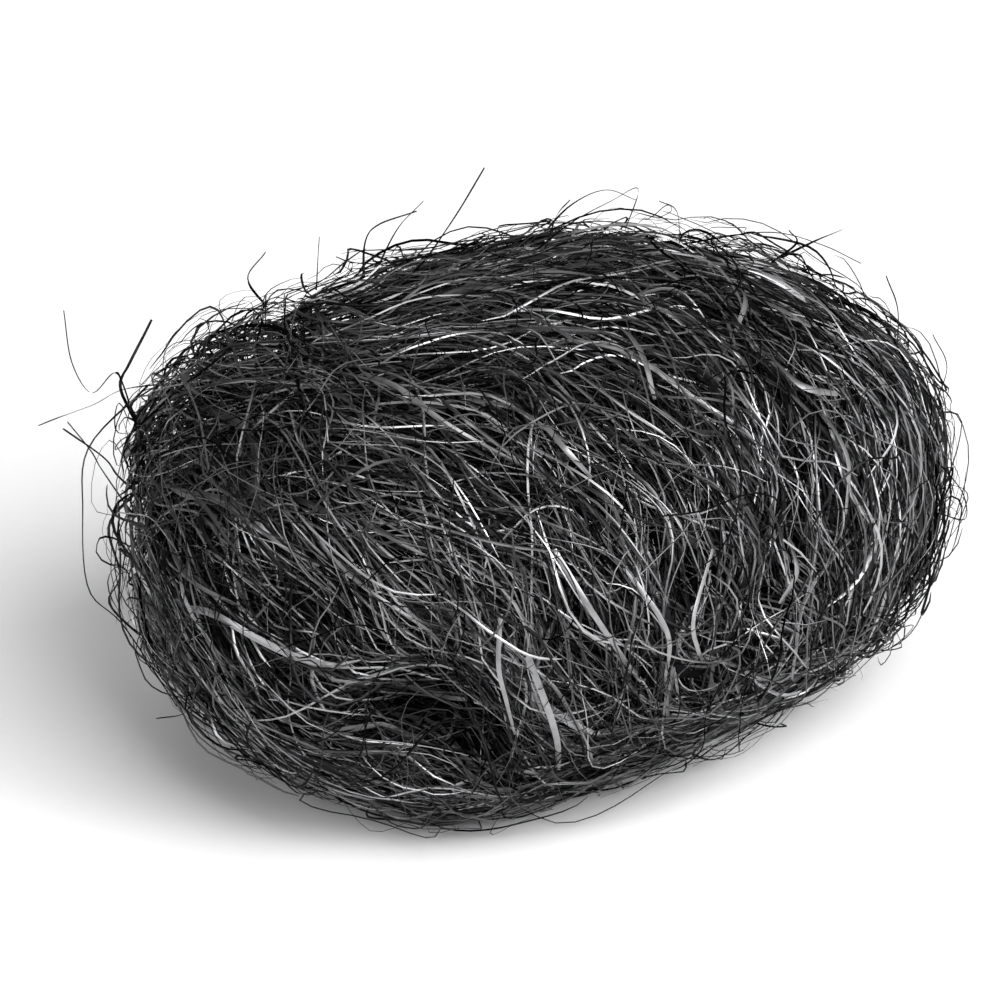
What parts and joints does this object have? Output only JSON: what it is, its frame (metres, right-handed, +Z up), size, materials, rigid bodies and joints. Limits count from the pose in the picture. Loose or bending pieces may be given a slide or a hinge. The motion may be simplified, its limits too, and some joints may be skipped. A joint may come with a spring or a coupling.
{
  "type": "steel wool bundle",
  "caption": "Loaf-shaped wad of matted coarse steel wool with a rolled-in pocket at its blunt end, for scouring and rubbing down; it lies on a pressed flat spot.",
  "frame": {"origin": "on the pressed flat spot that the wad lies on, under the middle of its bounding box", "axes": "+X along the wad, from the blunt rolled end to the rounded end; +Y across it, away from the side that shows the pocket; +Z up"},
  "size_m": [0.0792, 0.0622, 0.0424],
  "materials": {
    "steel_strands": "dark lightly oiled shaved steel strands with bright glints along their edges"
  },
  "bodies": {
    "root": {"wool_wad": "steel_strands"}
  },
  "joints": []
}
